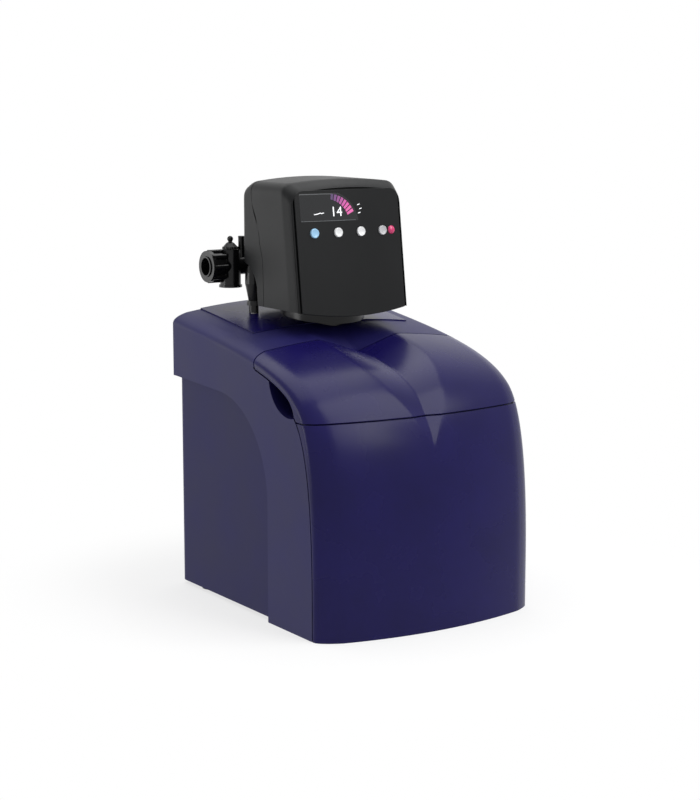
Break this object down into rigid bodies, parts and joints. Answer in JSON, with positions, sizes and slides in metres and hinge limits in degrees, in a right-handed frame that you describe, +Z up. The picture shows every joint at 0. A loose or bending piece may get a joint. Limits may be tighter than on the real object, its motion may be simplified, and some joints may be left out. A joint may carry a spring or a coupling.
{
  "type": "water softener",
  "caption": "Compact cabinet water softener: blue tub with a sloping salt lid, black control head with display and buttons, and a bypass valve with union nuts behind it.",
  "frame": {"origin": "on the floor, below the middle of the cabinet's width and depth", "axes": "+Z up, -Y out of the front panel, +X to the right seen from the front"},
  "size_m": [0.302, 0.364, 0.511],
  "materials": {
    "navy_gloss": "polished deep blue-violet plastic",
    "navy_satin": "satin deep blue-violet plastic",
    "black_satin": "satin black plastic",
    "black_gloss": "glossy black plastic",
    "smoked_glass": "smoked display window",
    "white_plastic": "white plastic",
    "blue_plastic": "light blue plastic",
    "silver_plastic": "silver-grey plastic",
    "red_plastic": "translucent raspberry plastic",
    "grey_plastic": "grey plastic",
    "natural_plastic": "natural white plastic",
    "fibreglass": "wound fibreglass vessel",
    "resin": "amber resin beads",
    "rubber": "black rubber",
    "steel": "bright steel",
    "board": "green circuit board"
  },
  "bodies": {
    "cabinet": {"brine_tank": "navy_satin", "feet": "rubber", "hood": "navy_satin", "deck_panel": "navy_gloss", "front_panel": "navy_gloss", "resin_vessel": "fibreglass", "vessel_boot": "black_satin", "resin_bed": "resin", "riser_tube": "natural_plastic", "lower_strainer": "black_satin", "upper_strainer": "black_satin", "brine_well": "natural_plastic", "well_cap": "black_satin", "float_rod": "natural_plastic", "brine_valve": "black_satin", "brine_tube": "natural_plastic", "brine_elbow": "black_gloss", "overflow_spigot": "black_satin", "overflow_nut": "black_satin", "valve_body": "black_gloss", "seal_stack": "rubber", "barrel_plug": "black_satin", "drive_motor": "steel", "injector_cap": "grey_plastic", "drain_spigot": "black_satin", "chassis": "black_satin", "chassis_screws": "steel", "fascia": "black_satin", "head_cover": "black_satin", "head_housing": "black_satin", "display_window": "smoked_glass", "display_module": "black_gloss", "circuit_board": "board", "status_lens": "red_plastic", "power_socket": "black_satin", "bypass_body": "black_gloss", "bypass_caps": "black_gloss", "port_couplings": "black_satin", "union_nuts": "black_gloss", "tailpieces": "black_gloss", "union_washers": "rubber"},
    "lid": {"lid": "navy_gloss"},
    "button_1": {"button_1": "blue_plastic"},
    "button_2": {"button_2": "white_plastic"},
    "button_3": {"button_3": "white_plastic"},
    "button_4": {"button_4": "silver_plastic"},
    "bypass_left": {"bypass_rotor_left": "grey_plastic", "bypass_knob_left": "black_gloss"},
    "bypass_right": {"bypass_rotor_right": "grey_plastic", "bypass_knob_right": "black_gloss"},
    "blend_screw": {"blend_screw": "black_gloss"},
    "float": {"float": "natural_plastic"},
    "drive_gear": {"drive_gear": "natural_plastic"},
    "motor_pinion": {"motor_pinion": "natural_plastic"},
    "piston": {"piston": "natural_plastic"},
    "flow_turbine": {"flow_turbine": "natural_plastic"}
  },
  "joints": [
    {"name": "lid_hinge", "type": "hinge", "parent": "cabinet", "child": "lid", "pos_m": [0, -0.007, 0.32511], "axis": [-1, 0, 0], "range_deg": [0, 65]},
    {"name": "button_1_press", "type": "slide", "parent": "cabinet", "child": "button_1", "axis": [0, 0.9914, -0.1305], "range_m": [0, 0.0012], "stiffness_N_per_m": 600},
    {"name": "button_2_press", "type": "slide", "parent": "cabinet", "child": "button_2", "axis": [0, 0.9914, -0.1305], "range_m": [0, 0.0012], "stiffness_N_per_m": 600},
    {"name": "button_3_press", "type": "slide", "parent": "cabinet", "child": "button_3", "axis": [0, 0.9914, -0.1305], "range_m": [0, 0.0012], "stiffness_N_per_m": 600},
    {"name": "button_4_press", "type": "slide", "parent": "cabinet", "child": "button_4", "axis": [0, 0.9914, -0.1305], "range_m": [0, 0.0012], "stiffness_N_per_m": 600},
    {"name": "bypass_left_turn", "type": "hinge", "parent": "cabinet", "child": "bypass_left", "pos_m": [-0.08, 0.161, 0.4], "axis": [0, 0, 1], "range_deg": [0, 90]},
    {"name": "bypass_right_turn", "type": "hinge", "parent": "cabinet", "child": "bypass_right", "pos_m": [0.08, 0.161, 0.4], "axis": [0, 0, 1], "range_deg": [0, 90]},
    {"name": "blend_turn", "type": "hinge", "parent": "cabinet", "child": "blend_screw", "pos_m": [-0.064, 0.161, 0.42], "axis": [0, 0, 1], "range_deg": [0, 270]},
    {"name": "float_slide", "type": "slide", "parent": "cabinet", "child": "float", "axis": [0, 0, 1], "range_m": [0, 0.038]},
    {"name": "drive_turn", "type": "hinge", "parent": "cabinet", "child": "drive_gear", "pos_m": [0.0646, 0.073, 0.4], "axis": [1, 0, 0], "range_deg": [0, 170]},
    {"name": "pinion_turn", "type": "hinge", "parent": "cabinet", "child": "motor_pinion", "pos_m": [0.0646, 0.073, 0.4495], "axis": [1, 0, 0], "range_deg": [-345, 5]},
    {"name": "piston_slide", "type": "slide", "parent": "cabinet", "child": "piston", "axis": [1, 0, 0], "range_m": [0, 0.0121]},
    {"name": "turbine_spin", "type": "hinge", "parent": "cabinet", "child": "flow_turbine", "pos_m": [0.04, 0.123, 0.4], "axis": [0, 1, 0], "continuous": true}
  ],
  "couplings": [
    {"joint": "pinion_turn", "follows": "drive_turn", "ratio": -2},
    {"joint": "piston_slide", "follows": "drive_turn", "m_per_rad": 0.0040444}
  ]
}
